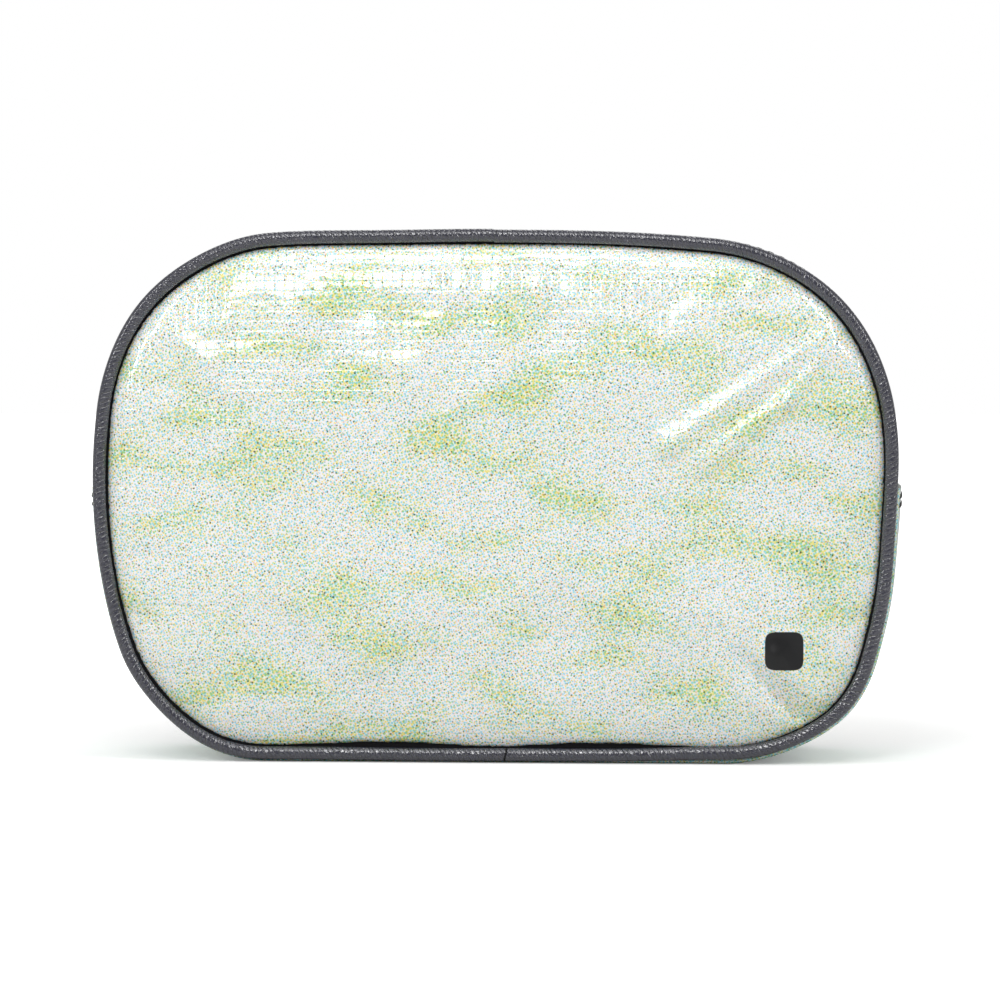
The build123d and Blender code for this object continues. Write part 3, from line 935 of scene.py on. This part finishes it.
def tooth_mesh():
    """One moulded tooth about its own middle: x along the chain, y across, z outwards."""
    left = [(x * MM, y * MM) for x, y in TOOTH_OUTLINE]
    around = left + [(-x, y) for x, y in left[::-1]]
    bm = bmesh.new()
    top = [bm.verts.new((x, y, 1.25 * MM)) for x, y in around]
    low = [bm.verts.new((x, y, -1.25 * MM)) for x, y in around]
    bm.faces.new(top)
    bm.faces.new(low[::-1])
    for i in range(len(around)):
        j = (i + 1) % len(around)
        bm.faces.new((top[i], low[i], low[j], top[j]))
    rims = [e for e in bm.edges if abs(e.verts[0].co.z - e.verts[1].co.z) < 1e-7]
    bmesh.ops.bevel(bm, geom=rims, offset=0.28 * MM, segments=2, affect="EDGES", profile=0.6)
    bmesh.ops.recalc_face_normals(bm, faces=bm.faces)
    bm.verts.ensure_lookup_table()
    co = np.array([v.co for v in bm.verts])
    faces = [tuple(v.index for v in f.verts) for f in bm.faces]
    bm.free()
    return co, faces


def rim_axes(normal):
    """Directions outwards and onwards along the outline, from its normal."""
    return np.array([normal[0], 0, normal[1]]), np.array([-normal[1], 0, normal[0]])


def scatter(name, co, faces, frames):
    """Copies of a small mesh at frames of (origin, x axis, y axis, z axis), as one object."""
    all_co, all_faces = [], []
    for step, (origin, x_axis, y_axis, z_axis) in enumerate(frames):
        placed = origin + co[:, :1] * x_axis + co[:, 1:2] * y_axis + co[:, 2:3] * z_axis
        all_co.append(placed)
        all_faces += [tuple(i + step * len(co) for i in face) for face in faces]
    uv = np.zeros((sum(len(f) for f in all_faces), 2))
    return mesh_object(name, np.concatenate(all_co), all_faces, uv, smooth_angle=35)


def make_teeth(name, facing):
    """A row of teeth from the bottom stop to the slider; the front row is half a pitch further on."""
    slider_low, slider_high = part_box("slider_body")
    stop_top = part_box("zip_bottom_stop")[1].z
    start = length_at_height(stop_top + 1.2 * MM, 1)
    end = length_at_height((slider_low.z + slider_high.z) / 2 - 1 * MM, -1)
    shift = 0 if facing > 0 else TOOTH_PITCH / 2
    frames = []
    for (x, z), normal in zip(*track_places(TOOTH_PITCH, start + shift, end)):
        out, onward = rim_axes(normal)
        frames.append((np.array([x, 0, z]), onward, np.array([0, facing, 0]), out))
    return scatter(name, *tooth_mesh(), frames)


# =============================================================== stitches, slider
def stitch_mesh(length=2.6 * MM, thick=0.55 * MM):
    """One stitch: a short thread that dips into the cloth at both ends, x along, z outwards."""
    rings, sides = 7, 6
    co, faces = [], []
    for i in range(rings):
        share = i / (rings - 1) * 2 - 1
        radius = thick / 2 * sqrt(max(1 - 0.75 * share**4, 0.08))
        for k in range(sides):
            angle = 2 * pi * k / sides
            lift = 0.12 * MM - 0.28 * MM * share**4
            co.append((share * length / 2, radius * cos(angle), lift + radius * 0.8 * sin(angle)))
    for i in range(rings - 1):
        for k in range(sides):
            n = (k + 1) % sides
            faces.append((i * sides + k, i * sides + n, (i + 1) * sides + n, (i + 1) * sides + k))
    faces += [tuple(range(sides)), tuple((rings - 1) * sides + k for k in range(sides))[::-1]]
    return np.array(co), faces


def seam_stitches():
    """Double slanted rows where the bottom gusset laps over the zip strips."""
    frames = []
    tilt = 0.5
    for side in (1, -1):
        for drop in (2.2 * MM, 4.6 * MM):
            length = np.array([length_at_height(LAP_TOP - drop, side)])
            points, normals = rim(length)
            x, z = points[0]
            out, onward = rim_axes(normals[0])
            along = cos(tilt) * np.array([0, 1, 0]) + sin(tilt) * side * onward
            for y in np.arange(-BAND_HALF + 1.6 * MM, BAND_HALF - 1.5 * MM, 3.6 * MM):
                swell = float(band_bulge(length, z, np.array([y]))[0])
                origin = np.array([x, y, z]) + out * swell
                frames.append((origin, along, np.cross(out, along), out))
    return scatter("seam_stitches", *stitch_mesh(), frames)


def top_stitches(name, facing):
    """One row along the folded edge of a zip strip."""
    y = facing * (SLOT_HALF + 2.2 * MM)
    lengths = np.arange(*run_over_top(LAP_TOP + 1.5 * MM), 3.4 * MM)
    points, normals = rim(lengths)
    swell = strip_bulge(lengths, points[:, 1], np.full(len(lengths), y))
    frames = []
    for (x, z), normal, lift in zip(points, normals, swell):
        out, along = rim_axes(normal)
        origin = np.array([x, y, z]) + out * (lift - VINYL)
        frames.append((origin, along, np.cross(out, along), out))
    return scatter(name, *stitch_mesh(2.4 * MM, 0.42 * MM), frames)


def bevelled_copy(node, name, width):
    """A copy of a rigid CAD node with its edges eased."""
    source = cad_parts[node]
    piece = add_object(name, source.data.copy())
    weld = piece.modifiers.new("weld", "WELD")
    weld.merge_threshold = 0.005 * MM
    flat = piece.modifiers.new("flat", "DECIMATE")
    flat.decimate_type = "DISSOLVE"
    flat.angle_limit = radians(4)
    bevel = piece.modifiers.new("bevel", "BEVEL")
    bevel.width = width
    bevel.segments = 3
    bevel.limit_method = "ANGLE"
    bevel.angle_limit = radians(30)
    bevel.use_clamp_overlap = True
    apply_modifiers(piece)
    piece.data.materials.clear()
    tidy_mesh(piece, 30)
    return piece


# =============================================================== the object
def pair(make, name, material, back="rear", node=None):
    """The same piece on both sides: the front one has its transform baked, the back one rides on the
    shell.
    """
    nodes = (f"front_{node}_upper", f"front_{node}_lower") if node else ()
    finish_piece(make(f"front_{name}", -1), material, "fold", nodes)
    nodes = (f"{back}_{node}",) if node else ()
    finish_piece(make(f"{back}_{name}", 1), material, "shell", nodes)


def build_pads():
    """The two padded panels."""
    front_pad = make_pad("front_pad", -1, FRONT_LINES, 1.7)
    nodes = ("front_panel_upper", "front_panel_lower")
    finish_piece(front_pad, FRONT_PRINT, "fold", nodes)
    back_pad = make_pad("back_pad", 1, BACK_LINES, 8.2)
    finish_piece(back_pad, BACK_PRINT, "shell", ("back_panel",))


def build_pouch():
    """Every piece of the object."""
    build_pads()
    pair(make_lining, "lining", LINING_CLOTH, "back", "liner")
    pair(make_piping, "cord", PIPING_LEATHER, "back", "piping")
    for name, facing in (("front_cord_joint", -1), ("back_cord_joint", 1)):
        finish_piece(make_piping_joint(name, facing), GAP_SHADE_AND_JOINT_CLOTH, "shell")
    # painted shade: near-black rings fill the gap inside each cord
    pair(make_gap_shade, "gap_shade", GAP_SHADE_AND_JOINT_CLOTH, "back")
    nodes = ("bottom_gusset", "bottom_padding")
    finish_piece(make_bottom_gusset(), GUSSET_PRINT, "fold", nodes)
    finish_piece(make_bottom_lining(), LINING_CLOTH, "fold", ("bottom_liner",))
    pair(make_strip, "strip", STRIP_PRINT, node="zip_strip")
    pair(make_strip_lining, "strip_lining", LINING_CLOTH)
    pair(make_binding, "binding", TAPE_CLOTH)
    pair(make_tape, "tape", TAPE_CLOTH, node="zip_tape")
    pair(make_teeth, "row", TEETH_PLASTIC, node="teeth")
    for node, body, width, material, slot in (
        ("zip_top_stops", "shell", 0.25 * MM, TEETH_PLASTIC, "zip_teeth"),
        ("zip_bottom_stop", "shell", 0.25 * MM, TEETH_PLASTIC, "zip_teeth"),
        ("slider_body", "zip_slider", 0.22 * MM, SLIDER_METAL, "slider_metal"),
        ("slider_pull", "zip_pull", 0.28 * MM, SLIDER_METAL, "slider_metal"),
    ):
        finish_piece(bevelled_copy(node, node + "_eased", width), material, body, (node,))
    finish_piece(seam_stitches(), THREAD, "fold")
    pair(top_stitches, "stitches", THREAD)


# =============================================================== stage
NEAR_GLOW, FAR_GLOW = 0.19, 0.90  # the lamps light the floor less further off


def stage_material(name):
    """A white floor. Seen by the camera it is lifted to white, and keeps the object's shadow."""
    n = Nodes(name)
    n.finish((0.60, 0.60, 0.60), 0.9)
    far = n.add("ShaderNodeVectorMath", {0: n.place()}, operation="LENGTH").outputs["Value"]
    level = n.smooth(far, 0.14, 0.36, NEAR_GLOW, FAR_GLOW)
    glow = n.add("ShaderNodeEmission", {"Color": (1, 1, 1, 1), "Strength": level})
    matt = n.add("ShaderNodeBsdfDiffuse", {"Color": (0.92, 0.92, 0.92, 1)})
    lifted = n.add("ShaderNodeAddShader", {0: glow.outputs[0], 1: matt.outputs[0]})
    both = n.add("ShaderNodeMixShader", {0: n.seen(), 1: n.shader.outputs[0], 2: lifted.outputs[0]})
    n.put(both.outputs[0], n.tree.nodes["Material Output"].inputs["Surface"])
    return n.material


def build_floor():
    """A wide floor under the pouch."""
    reach = 6.0
    corners = [(-reach, -reach, 0), (reach, -reach, 0), (reach, reach, 0), (-reach, reach, 0)]
    mesh = bpy.data.meshes.new("floor")
    mesh.from_pydata(corners, [], [(0, 1, 2, 3)])
    mesh.materials.append(stage_material("floor_white"))
    add_object("floor", mesh)


AMBIENT = 0.53


def build_room():
    """White surroundings. The gloss mirrors a dim room, dimmest behind the camera."""
    world = bpy.data.worlds.new("studio")
    bpy.context.scene.world = world
    world.use_nodes = True
    n = Tree(world.node_tree)
    sky = n.tree.nodes["Background"].inputs
    sky["Color"].default_value = (1, 1, 1, 1)
    towards = n.split(n.add("ShaderNodeTexCoord").outputs["Generated"])
    room = n.smooth(towards["Y"], -0.97, -0.70, 0.10, 0.32)
    level = n.smooth(n.seen(), 0.0, 1.0, AMBIENT, 1.0)
    glossy = n.add("ShaderNodeLightPath").outputs["Is Glossy Ray"]
    n.put(n.add("ShaderNodeMix", {0: glossy, 2: level, 3: room}).outputs[0], sky["Strength"])


def aimed(data, target, azimuth, elevation, distance):
    """A lamp or camera that faces a target from an azimuth (0 in front, towards +X) and elevation."""
    azimuth, elevation = radians(azimuth), radians(elevation)
    back = Vector((sin(azimuth) * cos(elevation), -cos(azimuth) * cos(elevation), sin(elevation)))
    obj = add_object(data.name, data)
    obj.location = Vector(target) + back * distance
    obj.rotation_euler = back.to_track_quat("Z", "Y").to_euler()
    return obj


SOFTBOXES = (
    # name, azimuth, elevation, distance, width, height, watts
    ("overhead", -6, 62, 1.8, 1.6, 1.0, 6.6),
    ("top_strip", -6, 45, 1.5, 0.38, 0.22, 2.7),
    ("ridge", -13, 27, 1.9, 0.44, 0.34, 4.0),
    ("left_strip", -58, 26, 1.5, 0.16, 0.8, 4.4),
    ("right_strip", 58, 34, 1.5, 0.18, 0.8, 4.4),
    ("behind", 172, 40, 2.4, 1.6, 1.2, 9.0),
)


def build_lights():
    """Area lamps that face the middle of the pouch."""
    for name, azimuth, elevation, distance, width, height, watts in SOFTBOXES:
        lamp = bpy.data.lights.new(name, "AREA")
        lamp.shape = "RECTANGLE"
        lamp.size, lamp.size_y = width, height
        lamp.energy = watts
        aimed(lamp, (0, 0, HEIGHT / 2), azimuth, elevation, distance)


CAMERA_AZIMUTH, CAMERA_ELEVATION = 4.0, 2.0
CAMERA_DISTANCE = 1.25
CAMERA_TARGET = (0.1 * MM, 0, 71.3 * MM)
SENSOR_WIDTH = 36
FIELD_WIDTH = 274.6 * MM  # seen across the picture at the front panel


def build_camera():
    """The photo's view."""
    data = bpy.data.cameras.new("camera")
    data.sensor_width = SENSOR_WIDTH
    data.lens = SENSOR_WIDTH * (CAMERA_DISTANCE - BAND_HALF) / FIELD_WIDTH
    data.clip_start = 0.05
    place = CAMERA_AZIMUTH, CAMERA_ELEVATION, CAMERA_DISTANCE
    bpy.context.scene.camera = aimed(data, CAMERA_TARGET, *place)


build_camera()
build_pouch()
build_floor()
build_room()
build_lights()
bpy.context.scene.view_settings.view_transform = "Standard"
